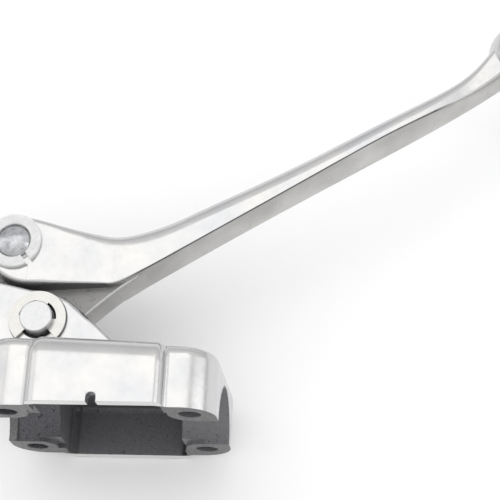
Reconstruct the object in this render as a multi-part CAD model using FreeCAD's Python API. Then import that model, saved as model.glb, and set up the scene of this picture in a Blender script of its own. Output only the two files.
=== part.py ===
import FreeCAD
import Part
import math
import os

V = FreeCAD.Vector

# Millimetres. The origin is on the handlebar's axis at the middle of the housing. +X runs along the
# handlebar to the lever's ball end, +Y points forward, away from the rider, and +Z leaves the face that
# carries the pivot pin's retaining clip.

# Housing: the front half of a handlebar clamp, with a hollow for switches in its middle
SEAT_R = 12.75
SEAT_RELIEF_R = 13.3
SEAT_LAND = 2.5
HOUSING_HALF = 33.0
HOUSING_TOP = 19.4
HOUSING_TOP_SLOPE = -0.043
BOSS_Z = 26.5
BOSS_DROP = 0.3
BOSS_CORNER_R = 9.5
BOSS_TOP_R = 3.2
PANEL_X = (-18.4, 19.2)
PANEL_Z = 31.2
PANEL_CORNER_R = (3.4, 2.6)
PANEL_TOP_R = 6.8
COVE_R = 1.6
POCKET_X = (-17.6, 18.9)
POCKET_Z = 27.9
POCKET_TOP = 14.8
POCKET_CORNER_R = (2.2, 2.0)
POCKET_ROOF_R = 1.6

# Screw holes in the split face, for quarter-inch screws
SCREW_X = 25.75
SCREW_Z = 19.2
SCREW_R = 3.2
SCREW_DEPTH = 12.5
SCREW_MOUTH_R = 3.4
PAD_R = 6.2
PAD_RELIEF_DEPTH = 1.5
PAD_RELIEF_Z = (12.4, 21.0)

# Slot for the switch wires in the clip side's wall
WIRE_SLOT_X = 0.45
WIRE_SLOT_W = 2.8
WIRE_SLOT_H = 2.7

# Fork and cable arm
PIVOT = (-21.2, 29.6)
EAR_OUT = 12.0
EAR_IN = 7.0
EAR_EDGE_R = 1.0
FORK_WEB_X = -37.5
FORK_WEB_FOOT = (-27.0, 31.0)
FORK_FLOOR = 19.3
EAR_MOUTH_R = 5.7
EAR_MOUTH_DEPTH = 0.8
CABLE_Y = 54.3
CABLE_BOSS_R = 9.6
CABLE_BOSS_X = (-66.0, -47.5)
CABLE_BOSS_EDGE_R = 1.2
ARM_TAPER_X = (-38.0, -50.0)
ARM_END_HALF = 9.2
FERRULE_R = 4.85
FERRULE_DEPTH = 12.0
CABLE_HOLE_R = 2.8
CABLE_SLOT_W = 3.0

# Pivot pin, its clip and its bush
PIN_R = 4.76
RUNNING_FIT = 0.05
PIN_END = 15.5
PIN_HEAD_R = 6.8
PIN_HEAD_T = 2.4
PIN_CHAMFER = 0.3
GROOVE_Z = (12.2, 13.4)
GROOVE_R = 3.85
CLIP_R = 8.38
CLIP_T = 1.1
CLIP_RELIEF_R = 5.6
CLIP_GRIP_GAP = 0.02
CLIP_OPENING = (225.0, 316.0)
CLIP_RELIEFS = ((-2.0, 59.0), (100.0, 170.0))
BUSH_R = 6.35
PRESS_GAP = 0.02

# Lever. The web joins the eye, which turns between the ears, to the wide cheeks above it.
EYE_HALF = 6.75
EYE_R = 8.6
WEB_HALF = 5.4
WEB_EDGE_R = 0.6
STOP_X = -36.9
HEAD_INSET = 0.04
HEAD_EDGE_R = 1.5
HEAD_CORNER_R = 2.0
HEAD_BACK_X = -24.5
CHEEK_HALF = 12.0
CHEEK_LOW = 40.8
ANCHOR = (-30.8, 53.9)
BALL = (120.1, 120.9)
BALL_R = 10.5
BLADE_RISE = 0.6
CABLE_GAP_HALF = 2.2
CABLE_GAP_ANGLES = (165.0, 228.0)

# Lever stations: x, grip side, front side, half width, grip-side corner radius, front-side corner radius
CHEEK_END = (-3.5, 42.1, 58.2, 8.6, 0.6, 4.0)
CHEEK_STATIONS = (
    (-26.0, CHEEK_LOW, 61.9, CHEEK_HALF, 1.5, 1.6),
    (-24.0, CHEEK_LOW, 61.4, CHEEK_HALF, 1.5, 1.6),
    (-19.0, 41.1, 60.4, 11.3, 1.1, 2.1),
    (-13.0, 41.5, 59.3, 10.3, 0.8, 2.8),
    (-8.0, 41.8, 58.6, 9.4, 0.7, 3.4),
    CHEEK_END,
)
BLADE_STATIONS = (
    CHEEK_END,
    (0.5, 42.9, 58.6, 7.9, 0.6, 4.5),
    (4.0, 44.9, 59.7, 7.2, 0.6, 4.9),
    (8.0, 47.4, 61.2, 6.8, 0.5, 5.2),
    (14.0, 51.1, 63.6, 6.6, 0.5, 5.3),
    (22.0, 56.1, 67.6, 6.5, 0.5, 5.3),
    (40.0, 67.2, 76.7, 6.5, 0.5, 5.3),
    (60.0, 79.4, 87.3, 7.0, 0.5, 5.4),
    (80.0, 91.4, 98.4, 7.4, 0.5, 5.1),
    (95.0, 99.9, 107.0, 6.4, 0.7, 4.4),
    (105.0, 105.6, 114.8, 5.4, 1.4, 3.6),
    (112.0, 110.2, 123.4, 5.7, 2.6, 3.2),
    (118.0, 114.6, 127.4, 6.0, 3.0, 3.0),
)

# Cable anchor: a plain pin in two nylon bushes with a notch in each flange
ANCHOR_R = 5.2
ANCHOR_BORE_R = 6.4
BUSH_FLANGE_R = 8.4
FLANGE_EDGE_R = 0.5
BUSH_FLANGE_T = 1.5
BUSH_INNER_Z = 3.0
BUSH_MOUTH_R = 5.5
FLANGE_NOTCH_W = 1.6
FLANGE_NOTCH_ANGLE = -52.0
ANCHOR_STRAIGHT = 12.6
ANCHOR_DOME = 1.7
WIRE_R = 1.7
NIPPLE_R = 3.2
NIPPLE_SEAT_X = 0.8


def box(x, y, z):
    corner = V(x[0], y[0], z[0])
    return Part.makeBox(x[1] - x[0], y[1] - y[0], z[1] - z[0], corner)


def rod(centre, radius, z0, z1):
    return Part.makeCylinder(radius, z1 - z0, V(centre[0], centre[1], z0), V(0, 0, 1))


def xrod(y, radius, x0, x1):
    return Part.makeCylinder(radius, x1 - x0, V(x0, y, 0), V(1, 0, 0))


def at(point, z):
    return V(point[0], point[1], z)


def outline(start, steps, z):
    """A closed wire in the plane at height z. A step is (end,) for a line or (middle, end) for an arc."""
    edges = []
    here = at(start, z)
    for step in steps:
        end = at(step[-1], z)
        if len(step) == 1:
            edges.append(Part.makeLine(here, end))
        else:
            edges.append(Part.Arc(here, at(step[0], z), end).toShape())
        here = end
    return Part.Wire(edges)


def slab(start, steps, z0, z1):
    return Part.Face(outline(start, steps, z0)).extrude(V(0, 0, z1 - z0))


def polar(centre, radius, degrees):
    a = math.radians(degrees)
    return (centre[0] + radius * math.cos(a), centre[1] + radius * math.sin(a))


def sector(centre, radius, start, end, z0, z1):
    """A pie slice from the start angle to the end angle, in degrees, less than half a turn wide."""
    middle = polar(centre, radius, (start + end) / 2)
    steps = [(polar(centre, radius, start),), (middle, polar(centre, radius, end)), (centre,)]
    return slab(centre, steps, z0, z1)


def runs_along(edge, axis):
    """True for a straight edge parallel to the axis, given as 0, 1 or 2."""
    size = [edge.BoundBox.XLength, edge.BoundBox.YLength, edge.BoundBox.ZLength]
    across = [size[i] for i in range(3) if i != axis]
    return size[axis] > 0.01 and max(across) < 0.001


def in_plane_z(edge, z):
    return abs(edge.BoundBox.ZMin - z) < 0.001 and abs(edge.BoundBox.ZMax - z) < 0.001


def in_plane_x(edge, x):
    return abs(edge.BoundBox.XMin - x) < 0.001 and abs(edge.BoundBox.XMax - x) < 0.001


def in_plane_y(edge, y):
    return abs(edge.BoundBox.YMin - y) < 0.001 and abs(edge.BoundBox.YMax - y) < 0.001


def top_at(x):
    return HOUSING_TOP + HOUSING_TOP_SLOPE * x


def tilted_block(x, half, drop):
    """A block on the split plane, its gently tilted top the given drop below the housing's."""
    right = (x[1], top_at(x[1]) - drop)
    left = (x[0], top_at(x[0]) - drop)
    steps = [((x[1], 0),), (right,), (left,), ((x[0], 0),)]
    return slab((x[0], 0), steps, -half, half)


def boss_block():
    """The full-length block that holds the screws, with rounded corners."""
    block = tilted_block((-HOUSING_HALF, HOUSING_HALF), BOSS_Z, BOSS_DROP)
    block = block.makeFillet(BOSS_CORNER_R, [e for e in block.Edges if runs_along(e, 1)])
    return block.makeFillet(BOSS_TOP_R, [e for e in block.Edges if e.BoundBox.YMin > POCKET_TOP])


def panel_block():
    """The wider middle of the housing. Its front and back top edges are rounder than its ends."""
    block = tilted_block(PANEL_X, PANEL_Z, 0)
    rims = [e for e in block.Edges if e.BoundBox.YMin > POCKET_TOP and e.BoundBox.ZLength < 0.001]
    block = block.makeFillet(PANEL_TOP_R, rims)
    for x, radius in zip(PANEL_X, PANEL_CORNER_R):
        end = [e for e in block.Edges if in_plane_x(e, x) and e.BoundBox.YMax > 0.001]
        block = block.makeFillet(radius, end)
    return block


def housing_shell():
    shell = boss_block().fuse(panel_block()).removeSplitter()
    grooves = [e for e in shell.Edges if runs_along(e, 1) and abs(abs(e.BoundBox.ZMin) - BOSS_Z) < 0.01]
    grooves = [e for e in grooves if abs(e.BoundBox.XMin) < PANEL_X[1] + 2]
    return shell.makeFillet(COVE_R, grooves)


def arm():
    """The fork's two ears and the arm that carries the cable, before the fork is cut."""
    steps = [
        ((-4.2, 28.4), (-12.6, 35.4)),
        ((-18.2, 38.0), (-24.4, 39.1)),
        ((-42.0, 43.3),),
        ((-46.3, 46.2), (-47.8, 51.0)),
        ((-47.8, CABLE_Y),),
        ((-60.0, CABLE_Y),),
        ((-61.5, 50.0), (-58.5, 44.5)),
        ((-40.0, 27.0), (-30.0, 13.0)),
        ((6.2, 13.0),),
        ((6.2, 18.3),),
    ]
    side = slab((6.2, 18.3), steps, -EAR_OUT, EAR_OUT)
    wide, narrow = ARM_TAPER_X
    near = [(20.0, EAR_OUT), (wide, EAR_OUT), (narrow, ARM_END_HALF), (-70.0, ARM_END_HALF)]
    far = [(x, -z) for x, z in reversed(near)]
    plan = [V(x, 0, z) for x, z in near + far + near[:1]]
    width = Part.Face(Part.makePolygon(plan)).extrude(V(0, 80, 0))
    body = side.common(width)
    rims = [e for e in body.Edges if in_plane_z(e, EAR_OUT) or in_plane_z(e, -EAR_OUT)]
    return body.makeFillet(EAR_EDGE_R, [e for e in rims if e.BoundBox.YMax > HOUSING_TOP])


def fork_gap():
    steps = [
        ((40, FORK_FLOOR),),
        ((40, 60),),
        ((FORK_WEB_X, 60),),
        ((FORK_WEB_X, FORK_WEB_FOOT[1]),),
        ((FORK_WEB_FOOT[0], FORK_FLOOR),),
    ]
    return slab((FORK_WEB_FOOT[0], FORK_FLOOR), steps, -EAR_IN, EAR_IN)


def pocket():
    hollow = box(POCKET_X, (-5, POCKET_TOP), (-POCKET_Z, POCKET_Z))
    for x, radius in zip(POCKET_X, POCKET_CORNER_R):
        uprights = [e for e in hollow.Edges if runs_along(e, 1) and in_plane_x(e, x)]
        hollow = hollow.makeFillet(radius, uprights)
    return hollow.makeFillet(POCKET_ROOF_R, [e for e in hollow.Edges if in_plane_y(e, POCKET_TOP)])


def pin_hole():
    """The pivot pin's hole through both ears, with a bevelled mouth under the clip."""
    hole = rod(PIVOT, PIN_R + RUNNING_FIT, -EAR_OUT - 1, EAR_OUT + 1)
    inner = at(PIVOT, EAR_OUT - EAR_MOUTH_DEPTH)
    mouth = Part.makeCone(PIN_R, EAR_MOUTH_R, EAR_MOUTH_DEPTH, inner, V(0, 0, 1))
    return hole.fuse(mouth)


def screw_hole(x, z):
    mouth = SCREW_MOUTH_R - SCREW_R
    up = V(0, 1, 0)
    hole = Part.makeCylinder(SCREW_R, SCREW_DEPTH, V(x, 0, z), up)
    point = Part.makeCone(SCREW_R, 0, SCREW_R * 0.6, V(x, SCREW_DEPTH, z), up)
    chamfer = Part.makeCone(SCREW_MOUTH_R + 1, SCREW_R, mouth + 1, V(x, -1, z), up)
    return hole.fuse([point, chamfer])


def pad_relief(x, z):
    """Rounds a pad's corner beside the bar about its screw, to a small depth."""
    end = POCKET_X[0] if x < 0 else POCKET_X[1]
    side = math.copysign(1, z)
    across = sorted((side * PAD_RELIEF_Z[0], side * PAD_RELIEF_Z[1]))
    corner = box(sorted((x, end)), (-1, PAD_RELIEF_DEPTH), across)
    return corner.cut(Part.makeCylinder(PAD_R, PAD_RELIEF_DEPTH + 2, V(x, -1, z), V(0, 1, 0)))


def wire_slot():
    half = WIRE_SLOT_W / 2
    straight = WIRE_SLOT_H - half
    x = (WIRE_SLOT_X - half, WIRE_SLOT_X + half)
    z = (POCKET_Z - 2, PANEL_Z + 2)
    return box(x, (-1, straight), z).fuse(rod((WIRE_SLOT_X, straight), half, z[0], z[1]))


def make_bracket():
    boss = xrod(CABLE_Y, CABLE_BOSS_R, CABLE_BOSS_X[0], CABLE_BOSS_X[1])
    rims = [e for e in boss.Edges if e.BoundBox.XLength < 0.001]
    boss = boss.makeFillet(CABLE_BOSS_EDGE_R, rims)
    body = housing_shell().fuse([arm(), boss]).removeSplitter()
    cuts = [fork_gap(), pocket(), xrod(0, SEAT_R, -HOUSING_HALF - 1, HOUSING_HALF + 1)]
    cuts.append(xrod(0, SEAT_RELIEF_R, SEAT_LAND - HOUSING_HALF, 0))
    cuts.append(pin_hole())
    cuts.append(wire_slot())
    for x in (-SCREW_X, SCREW_X):
        for z in (-SCREW_Z, SCREW_Z):
            cuts.append(screw_hole(x, z))
            cuts.append(pad_relief(x, z))
    cuts.append(xrod(CABLE_Y, FERRULE_R, CABLE_BOSS_X[0] - 1, CABLE_BOSS_X[0] + FERRULE_DEPTH))
    cuts.append(xrod(CABLE_Y, CABLE_HOLE_R, CABLE_BOSS_X[0], CABLE_BOSS_X[1] + 1))
    half = CABLE_SLOT_W / 2
    slot_x = (CABLE_BOSS_X[0] - 1, CABLE_BOSS_X[1] + 1)
    cuts.append(box(slot_x, (CABLE_Y, CABLE_Y + CABLE_BOSS_R + 1), (-half, half)))
    for cut in cuts:
        body = body.cut(cut)
    return body.removeSplitter()


def blade_section(x, low, top, half, low_r, top_r):
    """A closed outline across the blade: a flat grip side, and a front side with broad rounded corners."""
    def spot(z, y):
        return V(x, y, z)

    def corner(z, y, radius, side, up):
        cut = radius * (1 - math.sqrt(0.5))
        return spot(side * (z - cut), y + up * cut)

    edges = []
    edges.append(Part.makeLine(spot(low_r - half, low), spot(half - low_r, low)))
    edges.append(Part.Arc(edges[0].Vertexes[-1].Point, corner(half, low, low_r, 1, 1),
                          spot(half, low + low_r)).toShape())
    edges.append(Part.makeLine(spot(half, low + low_r), spot(half, top - top_r)))
    edges.append(Part.Arc(spot(half, top - top_r), corner(half, top, top_r, 1, -1),
                          spot(half - top_r, top)).toShape())
    edges.append(Part.makeLine(spot(half - top_r, top), spot(top_r - half, top)))
    edges.append(Part.Arc(spot(top_r - half, top), corner(half, top, top_r, -1, -1),
                          spot(-half, top - top_r)).toShape())
    edges.append(Part.makeLine(spot(-half, top - top_r), spot(-half, low + low_r)))
    edges.append(Part.Arc(spot(-half, low + low_r), corner(half, low, low_r, -1, 1),
                          spot(low_r - half, low)).toShape())
    return Part.Wire(edges)


def loft(stations):
    return Part.makeLoft([blade_section(*station) for station in stations], True, False)


def head():
    """The round end of the cheeks about the cable anchor."""
    low = CHEEK_LOW + HEAD_INSET
    back = HEAD_BACK_X
    steps = [
        ((-25.5, low),),
        ((-30.4, 41.7), (-35.2, 44.4)),
        ((-39.9, 53.4), (-28.4, 62.45)),
        ((back, 61.45),),
        ((back, low),),
    ]
    half = CHEEK_HALF - HEAD_INSET
    body = slab((back, low), steps, -half, half)
    uprights = [e for e in body.Edges if runs_along(e, 2) and not in_plane_x(e, back)]
    body = body.makeFillet(HEAD_CORNER_R, uprights)
    rims = [e for e in body.Edges if in_plane_z(e, half) or in_plane_z(e, -half)]
    return body.makeFillet(HEAD_EDGE_R, [e for e in rims if not in_plane_x(e, back)])


def web():
    """The eye between the ears and the web above it, its grip-side edges lightly rounded."""
    steps = [
        ((STOP_X, 41.5),),
        ((STOP_X, 45.0),),
        ((-20.0, 50.0),),
        ((14.0, 54.0),),
        ((14.0, 51.3),),
        ((1.0, 42.2), (-11.6, 30.6)),
        (PIVOT,),
        ((PIVOT[0] - EYE_R, PIVOT[1]),),
    ]
    plate = slab((PIVOT[0] - EYE_R, PIVOT[1]), steps, -WEB_HALF, WEB_HALF)
    rims = [e for e in plate.Edges if in_plane_z(e, WEB_HALF) or in_plane_z(e, -WEB_HALF)]
    rims = [e for e in rims if isinstance(e.Curve, Part.Circle)]
    plate = plate.makeFillet(WEB_EDGE_R, rims)
    return plate.fuse(rod(PIVOT, EYE_R, -EYE_HALF, EYE_HALF))


def make_lever():
    ball = Part.makeSphere(BALL_R, V(BALL[0], BALL[1], 0), V(1, BLADE_RISE, 0))
    body = loft(CHEEK_STATIONS).fuse([loft(BLADE_STATIONS), ball, head(), web()])
    cuts = [
        rod(PIVOT, BUSH_R + PRESS_GAP, -20, 20),
        rod(ANCHOR, ANCHOR_BORE_R, -20, 20),
        sector(ANCHOR, 16.0, CABLE_GAP_ANGLES[0], CABLE_GAP_ANGLES[1], -CABLE_GAP_HALF, CABLE_GAP_HALF),
    ]
    for cut in cuts:
        body = body.cut(cut)
    return body.removeSplitter()


def make_pivot_bush():
    outer = rod(PIVOT, BUSH_R, -EYE_HALF, EYE_HALF)
    return outer.cut(rod(PIVOT, PIN_R + RUNNING_FIT, -EYE_HALF, EYE_HALF))


def make_pivot_pin():
    shank = rod(PIVOT, PIN_R, -EAR_OUT - PIN_HEAD_T, PIN_END)
    head = rod(PIVOT, PIN_HEAD_R, -EAR_OUT - PIN_HEAD_T, -EAR_OUT)
    rim = [e for e in head.Edges if in_plane_z(e, -EAR_OUT - PIN_HEAD_T)]
    head = head.makeChamfer(PIN_CHAMFER, rim)
    shank = shank.makeChamfer(PIN_CHAMFER, [e for e in shank.Edges if in_plane_z(e, PIN_END)])
    ring = rod(PIVOT, PIN_R + 1, GROOVE_Z[0], GROOVE_Z[1])
    groove = ring.cut(rod(PIVOT, GROOVE_R, GROOVE_Z[0], GROOVE_Z[1]))
    return shank.fuse(head).cut(groove).removeSplitter()


def make_pivot_clip():
    z0 = (GROOVE_Z[0] + GROOVE_Z[1] - CLIP_T) / 2
    z1 = z0 + CLIP_T
    ring = rod(PIVOT, CLIP_R, z0, z1).cut(rod(PIVOT, GROOVE_R + CLIP_GRIP_GAP, z0, z1))
    for start, end in CLIP_RELIEFS:
        ring = ring.cut(sector(PIVOT, CLIP_RELIEF_R, start, end, z0, z1))
    opening = sector(PIVOT, 3 * CLIP_R, CLIP_OPENING[0], CLIP_OPENING[1], z0, z1)
    return ring.cut(opening).removeSplitter()


def make_anchor_bush(side):
    """One flanged nylon bush, on the clip side for side 1 and on the far side for side -1."""
    barrel = rod(ANCHOR, ANCHOR_BORE_R - PRESS_GAP, BUSH_INNER_Z, CHEEK_HALF)
    flange = rod(ANCHOR, BUSH_FLANGE_R, CHEEK_HALF, CHEEK_HALF + BUSH_FLANGE_T)
    face = CHEEK_HALF + BUSH_FLANGE_T
    flange = flange.makeFillet(FLANGE_EDGE_R, [e for e in flange.Edges if in_plane_z(e, face)])
    bore = rod(ANCHOR, ANCHOR_R + RUNNING_FIT, 0, 20)
    bevel = BUSH_MOUTH_R - ANCHOR_R
    mouth = Part.makeCone(ANCHOR_R, BUSH_MOUTH_R, bevel, at(ANCHOR, face - bevel), V(0, 0, 1))
    bush = barrel.fuse(flange).cut(bore.fuse(mouth))
    notch = box((0, 20), (-FLANGE_NOTCH_W / 2, FLANGE_NOTCH_W / 2), (CHEEK_HALF, 20))
    notch.rotate(V(0, 0, 0), V(0, 0, 1), FLANGE_NOTCH_ANGLE)
    notch.translate(V(ANCHOR[0], ANCHOR[1], 0))
    bush = bush.cut(notch).removeSplitter()
    if side < 0:
        bush = bush.mirror(V(0, 0, 0), V(0, 0, 1))
    return bush


def make_anchor_pin():
    pin = rod(ANCHOR, ANCHOR_R, -ANCHOR_STRAIGHT, ANCHOR_STRAIGHT)
    dome_r = (ANCHOR_R ** 2 + ANCHOR_DOME ** 2) / (2 * ANCHOR_DOME)
    for side in (-1, 1):
        centre = at(ANCHOR, side * (ANCHOR_STRAIGHT + ANCHOR_DOME - dome_r))
        cap = Part.makeSphere(dome_r, centre)
        z = sorted((0, side * 20))
        pin = pin.fuse(cap.common(rod(ANCHOR, ANCHOR_R, z[0], z[1])))
    wire = Part.makeCylinder(WIRE_R, 20, V(ANCHOR[0] - 10, ANCHOR[1], 0), V(1, 0, 0))
    seat = Part.makeCylinder(NIPPLE_R, 20, V(ANCHOR[0] + NIPPLE_SEAT_X, ANCHOR[1], 0), V(1, 0, 0))
    return pin.cut(wire).cut(seat).removeSplitter()


PARTS = {
    "bracket_housing": make_bracket(),
    "lever": make_lever(),
    "pivot_bush": make_pivot_bush(),
    "pivot_pin": make_pivot_pin(),
    "pivot_clip": make_pivot_clip(),
    "anchor_pin": make_anchor_pin(),
    "anchor_bush_front": make_anchor_bush(1),
    "anchor_bush_rear": make_anchor_bush(-1),
}

os.makedirs("parts", exist_ok=True)
for name, shape in PARTS.items():
    shape.exportStep(os.path.join("parts", name + ".step"))
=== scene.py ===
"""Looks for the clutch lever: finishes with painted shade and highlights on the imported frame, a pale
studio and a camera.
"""
import math

import bpy
from mathutils import Euler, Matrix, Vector


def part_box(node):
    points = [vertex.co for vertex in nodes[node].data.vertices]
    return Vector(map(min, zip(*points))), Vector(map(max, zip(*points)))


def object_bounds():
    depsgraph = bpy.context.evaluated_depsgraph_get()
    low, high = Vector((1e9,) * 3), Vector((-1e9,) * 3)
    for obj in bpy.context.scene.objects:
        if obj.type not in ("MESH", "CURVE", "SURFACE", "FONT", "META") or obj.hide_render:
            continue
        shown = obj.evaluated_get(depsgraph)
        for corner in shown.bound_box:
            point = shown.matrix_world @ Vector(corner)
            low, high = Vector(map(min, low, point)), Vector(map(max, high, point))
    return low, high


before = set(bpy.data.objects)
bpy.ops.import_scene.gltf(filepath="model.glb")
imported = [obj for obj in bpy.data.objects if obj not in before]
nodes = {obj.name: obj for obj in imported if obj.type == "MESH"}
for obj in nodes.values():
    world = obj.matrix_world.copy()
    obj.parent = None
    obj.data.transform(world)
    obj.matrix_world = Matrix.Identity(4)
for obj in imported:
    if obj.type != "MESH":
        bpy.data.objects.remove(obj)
CAD_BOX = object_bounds()
LOW, HIGH = (Vector(corner) for corner in CAD_BOX)

# Camera, in metres and degrees
CAMERA_AT = (0.0848, -0.1049, 0.4028)
CAMERA_TURN = (21.95, 5.63, 2.49)
CAMERA_LENS = 105.09

# Axes of the two pins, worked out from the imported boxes
MM = 0.001
PIVOT = (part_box("pivot_bush")[0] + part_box("pivot_bush")[1]) / 2
ANCHOR = (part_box("anchor_pin")[0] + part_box("anchor_pin")[1]) / 2

# Where the finishes and the painted shade change on the housing, in millimetres in the shared frame
FORK_GAP_HALF = 7.05
POCKET_X = (-17.7, 19.0)
POCKET_WIDE = 28.0
POCKET_TOP = 15.0
SEAT_R = 13.5
SEAT_TOP = 14.5
SEAT_START_X = -31.0
LAND_R = 12.9
SCREW_X = 25.75
SCREW_Z = 19.2
SCREW_R = 3.4
SLOT_X = 0.45
SLOT_HALF = 1.45
SLOT_TOP = 2.75
SLOT_Z = (27.0, 31.1)
EAR_FACE_Z = 12.05
PIN_MOUTH_R = 5.75
CABLE_Y = 54.3
SOCKET_R = 4.9
SOCKET_END_X = -46.0
CLIP_SHADOW_R = (8.2, 8.65)
PAD_RELIEF = (26.0, 1.6, 21.2)
SPLIT_SKIN = 0.03

# Where they and the painted shade change on the lever
WEB_HALF = 5.4
WEB_TOP = 46.0
WEB_END_X = 9.0
CABLE_GAP_HALF = 2.3
CABLE_GAP_X = -34.0
BLADE_END_X = 96.0

FLOOR_HALF = 1.5
FLOOR_DROP = 0.0003


class Nodes:
    """A short way to build one material's node tree."""

    def __init__(self, name):
        self.material = bpy.data.materials.new(name)
        self.material.use_nodes = True
        self.tree = self.material.node_tree
        self.shader = self.tree.nodes["Principled BSDF"]
        texture = self.new("ShaderNodeTexCoord")
        self.place = texture.outputs["Object"]
        self.normal = texture.outputs["Normal"]

    def new(self, kind, **settings):
        node = self.tree.nodes.new(kind)
        for key, value in settings.items():
            setattr(node, key, value)
        return node

    def link(self, source, target):
        if isinstance(source, (int, float)):
            target.default_value = source
        else:
            self.tree.links.new(source, target)

    def math(self, operation, a, b=0.0, clamp=False):
        node = self.new("ShaderNodeMath", operation=operation, use_clamp=clamp)
        self.link(a, node.inputs[0])
        self.link(b, node.inputs[1])
        return node.outputs[0]

    def axes(self):
        """The three coordinates of the shaded point, in millimetres."""
        scaled = self.new("ShaderNodeVectorMath", operation="SCALE")
        self.link(self.place, scaled.inputs[0])
        scaled.inputs["Scale"].default_value = 1 / MM
        parts = self.new("ShaderNodeSeparateXYZ")
        self.link(scaled.outputs[0], parts.inputs[0])
        return parts.outputs

    def facing(self):
        """The three parts of the surface's own direction."""
        parts = self.new("ShaderNodeSeparateXYZ")
        self.link(self.normal, parts.inputs[0])
        return parts.outputs

    def noise(self, size_mm, detail=3.0, roughness=0.5, stretch=(1, 1, 1)):
        mapping = self.new("ShaderNodeMapping")
        self.link(self.place, mapping.inputs["Vector"])
        mapping.inputs["Scale"].default_value = [s / (size_mm * MM) for s in stretch]
        node = self.new("ShaderNodeTexNoise")
        self.link(mapping.outputs[0], node.inputs["Vector"])
        node.inputs["Scale"].default_value = 1.0
        node.inputs["Detail"].default_value = detail
        node.inputs["Roughness"].default_value = roughness
        return node.outputs[0]

    def span(self, value, low, high, out_low=0.0, out_high=1.0):
        """value from low to high mapped to out_low to out_high, held beyond the ends."""
        node = self.new("ShaderNodeMapRange", clamp=True)
        self.link(value, node.inputs["Value"])
        for key, number in zip(("From Min", "From Max"), (low, high)):
            node.inputs[key].default_value = number
        for key, number in zip(("To Min", "To Max"), (out_low, out_high)):
            node.inputs[key].default_value = number
        return node.outputs[0]

    def below(self, value, limit, soft=0.15):
        return self.span(value, limit - soft, limit + soft, 1.0, 0.0)

    def above(self, value, limit, soft=0.15):
        return self.span(value, limit - soft, limit + soft)

    def both(self, *masks):
        out = masks[0]
        for mask in masks[1:]:
            out = self.math("MULTIPLY", out, mask)
        return out

    def either(self, *masks):
        out = masks[0]
        for mask in masks[1:]:
            out = self.math("MAXIMUM", out, mask)
        return out

    def distance(self, a, a0, b, b0):
        """Distance in the plane of two coordinates from the point a0, b0."""
        da = self.math("SUBTRACT", a, a0)
        db = self.math("SUBTRACT", b, b0)
        squares = self.math("ADD", self.math("MULTIPLY", da, da), self.math("MULTIPLY", db, db))
        return self.math("SQRT", squares)

    def blend(self, mask, first, second):
        """Colour or number: first where the mask is 0, second where it is 1."""
        colour = isinstance(first, tuple) or isinstance(second, tuple)
        colour = colour or getattr(first, "type", "") == "RGBA"
        node = self.new("ShaderNodeMix", data_type="RGBA" if colour else "FLOAT")
        self.link(mask, node.inputs[0])
        low, high = (node.inputs[6], node.inputs[7]) if colour else (node.inputs[2], node.inputs[3])
        for value, socket in ((first, low), (second, high)):
            if isinstance(value, tuple):
                socket.default_value = (*value, 1.0)
            else:
                self.link(value, socket)
        return node.outputs[2] if colour else node.outputs[0]

    def bump(self, height, depth_mm, under=None):
        node = self.new("ShaderNodeBump")
        node.inputs["Strength"].default_value = 1.0
        node.inputs["Distance"].default_value = depth_mm * MM
        self.link(height, node.inputs["Height"])
        if under is not None:
            self.link(under, node.inputs["Normal"])
        return node.outputs[0]

    def soft_edges(self, radius_mm):
        """A normal that rounds sharp edges by the given radius."""
        node = self.new("ShaderNodeBevel", samples=6)
        node.inputs["Radius"].default_value = radius_mm * MM
        return node.outputs[0]

    def finish(self, colour, roughness, normal=None, metallic=None):
        self.link(colour, self.shader.inputs["Base Color"])
        self.link(roughness, self.shader.inputs["Roughness"])
        if normal is not None:
            self.link(normal, self.shader.inputs["Normal"])
        if metallic is not None:
            self.link(metallic, self.shader.inputs["Metallic"])
        return self.material


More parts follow.
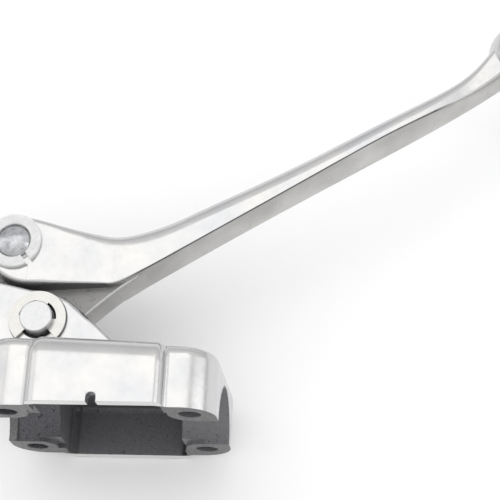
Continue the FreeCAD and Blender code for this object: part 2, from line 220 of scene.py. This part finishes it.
def alloy(name, cast_mask, dark_mask, wear_and_highlight_mask, machined_mask=None, shade_tone_masks=None):
    """Polished aluminium with as-cast areas, rough dark areas whose near-black tone is painted shade,
    bright areas (real wear on the housing, a painted highlight on the lever) and machined faces painted
    dark as shade, chosen by masks.
    """
    n = Nodes(name)
    cast = cast_mask(n)
    dark = dark_mask(n)
    haze = n.noise(13.0, 2.0, 0.4)
    smear = n.noise(2.6, 4.0, stretch=(1, 1, 0.35))
    grain = n.noise(0.42, 4.0, 0.65)
    pits = n.span(n.noise(1.3, 5.0, 0.7), 0.60, 0.70)
    ny, nz = n.facing()[1:3]
    side = n.below(n.math("ABSOLUTE", nz), 0.7, 0.25)
    grip_side = n.below(ny, -0.45, 0.2)
    polished = n.blend(n.span(haze, 0.35, 0.65), (0.58, 0.573, 0.56), (0.52, 0.522, 0.528))
    # Faces turned away from +Z and -Z are painted an even lighter grey: painted light, not a different
    # finish.
    polished = n.blend(side, polished, (0.61, 0.61, 0.615))
    # Faces turned towards -Y are painted a darker grey as painted shade, standing in for the dim
    # reflection they catch; the haze mixed in is real random tone, the gradient across Z is a painted
    # reflection.
    across = n.span(n.axes()[2], -5.0, 5.0, 0.15, -0.15)
    haze_and_sheen = n.span(n.math("ADD", haze, across), 0.3, 0.7)
    underside_shade = n.blend(haze_and_sheen, (0.40, 0.396, 0.382), (0.56, 0.552, 0.535))
    polished = n.blend(grip_side, polished, underside_shade)
    sandy = n.blend(n.span(grain, 0.3, 0.7), (0.25, 0.247, 0.242), (0.36, 0.357, 0.35))
    # The dark areas keep a real rough cast texture, but their near-black tone is painted shade for
    # recesses, holes and gaps.
    painted_shade_tone = n.blend(n.span(grain, 0.3, 0.7), (0.08, 0.079, 0.086), (0.18, 0.178, 0.19))
    # Optional masks paint lighter and deeper shade into the dark areas.
    if shade_tone_masks:
        pale, deep = shade_tone_masks(n)
        painted_shade_tone = n.blend(pale, painted_shade_tone, (0.30, 0.298, 0.31))
        painted_shade_tone = n.blend(deep, painted_shade_tone, (0.02, 0.02, 0.023))
    painted_shade_tone = n.blend(pits, painted_shade_tone, (0.025, 0.024, 0.023))
    colour = n.blend(dark, n.blend(cast, polished, sandy), painted_shade_tone)
    shine = n.span(smear, 0.25, 0.75, 0.17, 0.31)
    rough = n.blend(dark, n.blend(cast, shine, n.span(grain, 0.3, 0.7, 0.42, 0.6)), 0.62)
    metallic = n.blend(dark, 1.0, 0.75)
    if machined_mask:
        face = machined_mask(n)
        lines = n.noise(0.5, 2.0, stretch=(1, 1, 0.08))
        # The milling lines are real; the dark tone of the machined faces is painted shade, standing in
        # for the dim reflection these faces pick up.
        machined_shade = n.blend(n.span(lines, 0.3, 0.7), (0.10, 0.099, 0.098), (0.18, 0.179, 0.177))
        colour = n.blend(face, colour, machined_shade)
        rough = n.blend(face, rough, 0.38)
        metallic = n.blend(face, metallic, 1.0)
    # Bright tone: real wear on the housing's thin wall edges, a painted highlight on the lever's web
    # rim.
    wear_and_highlight = wear_and_highlight_mask(n)
    colour = n.blend(wear_and_highlight, colour, (0.80, 0.79, 0.775))
    rough = n.blend(wear_and_highlight, rough, 0.3)
    matte = n.either(cast, dark)
    soft = n.bump(n.noise(5.5, 2.0), 0.05, n.soft_edges(0.35))
    relief = n.math("MULTIPLY", matte, n.math("SUBTRACT", grain, n.math("MULTIPLY", pits, 0.8)))
    return n.finish(colour, rough, n.bump(relief, 0.12, soft), metallic)


def housing_cast(n):
    """The fork's inner faces and the cable arm's holes."""
    x, y, z = n.axes()
    inner = n.below(n.math("ABSOLUTE", z), FORK_GAP_HALF, 0.05)
    return n.both(inner, n.above(y, 19.2), n.above(x, -37.6), n.below(y, 44.0))


def housing_dark(n):
    """Painted shade in the switch pocket, the bar's seat, the tapped holes, the wire slot, the pin
    bore's mouth, the cable's socket and the recess between the pads, plus a painted shadow ring around
    the clip.
    """
    x, y, z = n.axes()
    wide = n.math("ABSOLUTE", z)
    ends = n.both(n.above(x, POCKET_X[0]), n.below(x, POCKET_X[1]))
    pocket = n.both(ends, n.below(wide, POCKET_WIDE), n.below(y, POCKET_TOP))
    bar = n.distance(y, 0.0, z, 0.0)
    seat = n.both(n.below(bar, SEAT_R), n.below(y, SEAT_TOP), n.above(x, SEAT_START_X))
    far = n.math("ABSOLUTE", x)
    hole = n.both(n.below(n.distance(far, SCREW_X, wide, SCREW_Z), SCREW_R), n.below(y, POCKET_TOP))
    from_slot = n.math("ABSOLUTE", n.math("SUBTRACT", x, SLOT_X))
    slot = n.both(n.below(from_slot, SLOT_HALF, 0.02), n.below(y, SLOT_TOP))
    slot = n.both(slot, n.above(z, SLOT_Z[0]), n.below(z, SLOT_Z[1]))
    ring = n.distance(x, PIVOT.x / MM, y, PIVOT.y / MM)
    pin_mouth = n.both(n.below(ring, PIN_MOUTH_R, 0.05), n.below(z, EAR_FACE_Z))
    cable = n.distance(y, CABLE_Y, z, 0.0)
    socket = n.both(n.below(cable, SOCKET_R), n.below(x, SOCKET_END_X))
    # A thin ring on the ear's face around the clip, darkened as a painted shadow.
    clip_shadow = n.both(n.below(ring, CLIP_SHADOW_R[1], 0.12), n.above(ring, CLIP_SHADOW_R[0], 0.1))
    clip_shadow = n.both(clip_shadow, n.above(z, 11.9, 0.05))
    depth = n.both(n.below(y, PAD_RELIEF[1]), n.above(y, 0.08, 0.04))
    relief = n.both(n.below(wide, PAD_RELIEF[2]), depth, n.below(far, PAD_RELIEF[0]))
    return n.either(pocket, seat, hole, slot, pin_mouth, socket, relief, n.math("MULTIPLY", clip_shadow, 0.75))


def housing_worn(n):
    """The thin edge of the pocket's walls in the split face, rubbed bright."""
    y, z = n.axes()[1:3]
    return n.both(n.below(y, SPLIT_SKIN, 0.02), n.above(n.math("ABSOLUTE", z), 27.6, 0.2))


def housing_shade_tones(n):
    """Painted light and painted shade inside the dark recesses: their end walls and the right end
    painted paler, and lines along their corners painted deeper.
    """
    axes = n.axes()
    x, z = axes[0], axes[2]
    end_wall = n.above(n.math("ABSOLUTE", n.facing()[0]), 0.8)
    pale = n.math("MULTIPLY", n.either(n.above(x, 19.2), end_wall), 0.45)
    left = n.both(n.below(n.math("ABSOLUTE", n.math("ADD", x, 15.4)), 0.3, 0.2), n.below(z, -27.0))
    left_end = n.both(n.below(n.math("ABSOLUTE", n.math("ADD", z, 25.7)), 0.3, 0.2), n.below(x, -17.0))
    right = n.both(n.above(x, 16.6, 0.4), n.below(x, 19.1), n.below(z, -20.0))
    return pale, n.math("MULTIPLY", n.either(left, left_end, right), 0.7)


def housing_machined(n):
    """The split face, machined flat by milling, and the narrow land of the seat; their dark tone is
    painted shade.
    """
    x, y, z = n.axes()
    face = n.below(y, SPLIT_SKIN, 0.02)
    bore = n.below(n.distance(y, 0.0, z, 0.0), LAND_R, 0.05)
    land = n.both(bore, n.below(x, -30.6, 0.05), n.below(y, 14.0))
    return n.either(face, land)


def lever_cast(n):
    """The web's two faces below the cheeks, which the polishing wheel doesn't reach."""
    x, y, z = n.axes()
    wide = n.math("ABSOLUTE", z)
    flat = n.above(n.math("ABSOLUTE", n.facing()[2]), 0.9, 0.05)
    skin = n.both(n.below(wide, WEB_HALF + 0.2, 0.05), n.above(wide, WEB_HALF - 0.2, 0.05))
    return n.both(flat, skin, n.below(y, WEB_TOP), n.below(x, WEB_END_X))


def lever_dark(n):
    """Painted shade in the gap for the cable and on the wall where the cheeks step out from the web, and
    a painted dark reflection line along the blade's lower edge.
    """
    x, y, z = n.axes()
    wide = n.math("ABSOLUTE", z)
    gap = n.both(n.below(wide, CABLE_GAP_HALF, 0.05), n.below(x, CABLE_GAP_X))
    ny = n.facing()[1]
    outside = n.above(wide, WEB_HALF, 0.1)
    # The wall under the cheeks facing -Y is darkened as painted shade; the tilted faces along the
    # blade's lower edge carry a painted dark reflection line.
    wall = n.both(n.below(ny, -0.6), outside, n.below(x, -1.0, 2.5), n.below(y, 43.5))
    tilted = n.both(n.below(ny, -0.2, 0.08), n.above(ny, -0.75, 0.08))
    edge = n.both(tilted, n.above(wide, WEB_HALF + 0.2), n.above(x, 4.0, 3.0))
    edge = n.both(edge, n.below(x, BLADE_END_X, 3.0))
    return n.either(gap, n.math("MULTIPLY", wall, 0.8), edge)


def lever_rim_highlight(n):
    """The web's rounded rim, painted bright as a highlight."""
    x, y, z = n.axes()
    wide = n.math("ABSOLUTE", z)
    rounded = n.above(n.math("ABSOLUTE", n.facing()[2]), 0.12, 0.03)
    skin = n.both(n.below(wide, WEB_HALF - 0.03, 0.03), n.above(wide, WEB_HALF - 0.65, 0.05))
    return n.both(rounded, skin, n.below(y, WEB_TOP), n.below(x, WEB_END_X))


def steel(name, low, high, rough_low, rough_high, turned_about=None):
    """Plated steel. turned_about gives the axis of its lathe marks, in the plane across Z."""
    n = Nodes(name)
    blot = n.noise(2.2, 4.0, 0.6)
    speck = n.noise(0.35, 3.0)
    colour = n.blend(n.span(n.math("ADD", blot, n.math("MULTIPLY", speck, 0.5)), 0.55, 0.95), low, high)
    rough = n.span(blot, 0.3, 0.7, rough_low, rough_high)
    height = speck
    if turned_about is not None:
        x, y = n.axes()[0:2]
        ring = n.distance(x, turned_about.x / MM, y, turned_about.y / MM)
        marks = n.math("SINE", n.math("MULTIPLY", ring, 19.0))
        height = n.math("ADD", height, n.math("MULTIPLY", marks, 0.35))
    n.shader.inputs["Metallic"].default_value = 1.0
    return n.finish(colour, rough, n.bump(height, 0.012))


def nylon(name):
    """Milky nylon that lets some light through."""
    n = Nodes(name)
    cloud = n.noise(3.0, 4.0, 0.6)
    colour = n.blend(n.span(cloud, 0.3, 0.7), (0.60, 0.603, 0.60), (0.76, 0.76, 0.755))
    rough = n.span(n.noise(1.1, 3.0), 0.3, 0.7, 0.22, 0.4)
    n.shader.inputs["IOR"].default_value = 1.53
    n.shader.inputs["Subsurface Weight"].default_value = 0.6
    n.shader.inputs["Subsurface Radius"].default_value = (1.0, 1.0, 0.95)
    n.shader.inputs["Subsurface Scale"].default_value = 0.0015
    return n.finish(colour, rough, n.bump(cloud, 0.06))


def bronze(name):
    """Plain bearing bronze, lightly blotched."""
    n = Nodes(name)
    blot = n.noise(1.8, 4.0)
    colour = n.blend(n.span(blot, 0.3, 0.7), (0.42, 0.27, 0.13), (0.58, 0.40, 0.21))
    n.shader.inputs["Metallic"].default_value = 1.0
    return n.finish(colour, n.span(blot, 0.3, 0.7, 0.35, 0.5), n.bump(n.noise(0.3), 0.02))


def dress(node, material):
    """Give a node this one material."""
    node.data.materials.clear()
    node.data.materials.append(material)


housing_masks = (housing_cast, housing_dark, housing_worn, housing_machined, housing_shade_tones)
dress(nodes["bracket_housing"], alloy("bracket_alloy", *housing_masks))
dress(nodes["lever"], alloy("lever_alloy", lever_cast, lever_dark, lever_rim_highlight))
dress(nodes["pivot_bush"], bronze("bush_bronze"))
pin_tones = ((0.52, 0.522, 0.53), (0.64, 0.64, 0.64))
clip_tones = ((0.50, 0.49, 0.465), (0.60, 0.59, 0.56))
anchor_tones = ((0.34, 0.345, 0.355), (0.58, 0.585, 0.60))
dress(nodes["pivot_pin"], steel("pin_steel", *pin_tones, 0.28, 0.42, PIVOT))
dress(nodes["pivot_clip"], steel("clip_steel", *clip_tones, 0.22, 0.34))
dress(nodes["anchor_pin"], steel("anchor_steel", *anchor_tones, 0.10, 0.24, ANCHOR))
for side in ("front", "rear"):
    dress(nodes["anchor_bush_" + side], nylon("nylon_" + side))


def floor():
    """A pale sheet under the object."""
    level = LOW.z - FLOOR_DROP
    mesh = bpy.data.meshes.new("floor")
    turns = ((-1, -1), (1, -1), (1, 1), (-1, 1))
    corners = [(FLOOR_HALF * x, FLOOR_HALF * y, level) for x, y in turns]
    mesh.from_pydata(corners, [], [(0, 1, 2, 3)])
    sheet = bpy.data.objects.new("floor", mesh)
    bpy.context.collection.objects.link(sheet)
    n = Nodes("floor_paper")
    n.shader.inputs["Specular IOR Level"].default_value = 0.1
    tone = n.blend(n.noise(40.0, 2.0), (0.94, 0.94, 0.94), (0.96, 0.96, 0.96))
    mesh.materials.append(n.finish(tone, 0.9))


def lamp(name, at, aim, width, height, power):
    data = bpy.data.lights.new(name, "AREA")
    data.shape = "RECTANGLE"
    data.size = width
    data.size_y = height
    data.energy = power
    lamp_object = bpy.data.objects.new(name, data)
    lamp_object.location = at
    lamp_object.rotation_euler = (Vector(aim) - Vector(at)).to_track_quat("-Z", "Y").to_euler()
    bpy.context.collection.objects.link(lamp_object)


def studio():
    """A bright, even surround with a darker horizon, and three soft lamps."""
    bpy.context.scene.view_settings.view_transform = "Standard"
    world = bpy.data.worlds.new("studio")
    bpy.context.scene.world = world
    world.use_nodes = True
    tree = world.node_tree
    sky = tree.nodes["Background"]
    sky.inputs["Strength"].default_value = 1.0
    place = tree.nodes.new("ShaderNodeTexCoord")
    parts = tree.nodes.new("ShaderNodeSeparateXYZ")
    ramp = tree.nodes.new("ShaderNodeValToRGB")
    tree.links.new(place.outputs["Generated"], parts.inputs[0])
    tree.links.new(parts.outputs["Z"], ramp.inputs[0])
    tree.links.new(ramp.outputs[0], sky.inputs["Color"])
    stops = ramp.color_ramp.elements
    stops[0].position = 0.0
    stops[0].color = (0.70, 0.70, 0.71, 1)
    stops[1].position = 0.85
    stops[1].color = (1.05, 1.05, 1.05, 1)
    for position, grey in ((0.2, 0.79), (0.5, 0.95)):
        stop = stops.new(position)
        stop.color = (grey, grey, grey * 1.02, 1)
    centre = (LOW + HIGH) / 2
    lamp("overhead", centre + Vector((-0.1, 0.25, 0.9)), centre, 0.9, 0.6, 1.2)
    lamp("left", centre + Vector((-0.9, 0.2, 0.5)), centre, 0.5, 0.8, 0.6)
    lamp("right", centre + Vector((0.9, 0.1, 0.6)), centre, 0.25, 0.8, 1.0)


def camera():
    data = bpy.data.cameras.new("camera")
    data.lens = CAMERA_LENS
    data.sensor_width = 36.0
    data.clip_start = 0.01
    view = bpy.data.objects.new("camera", data)
    view.location = CAMERA_AT
    view.rotation_euler = Euler([math.radians(a) for a in CAMERA_TURN], "XYZ")
    bpy.context.collection.objects.link(view)
    bpy.context.scene.camera = view


floor()
studio()
camera()
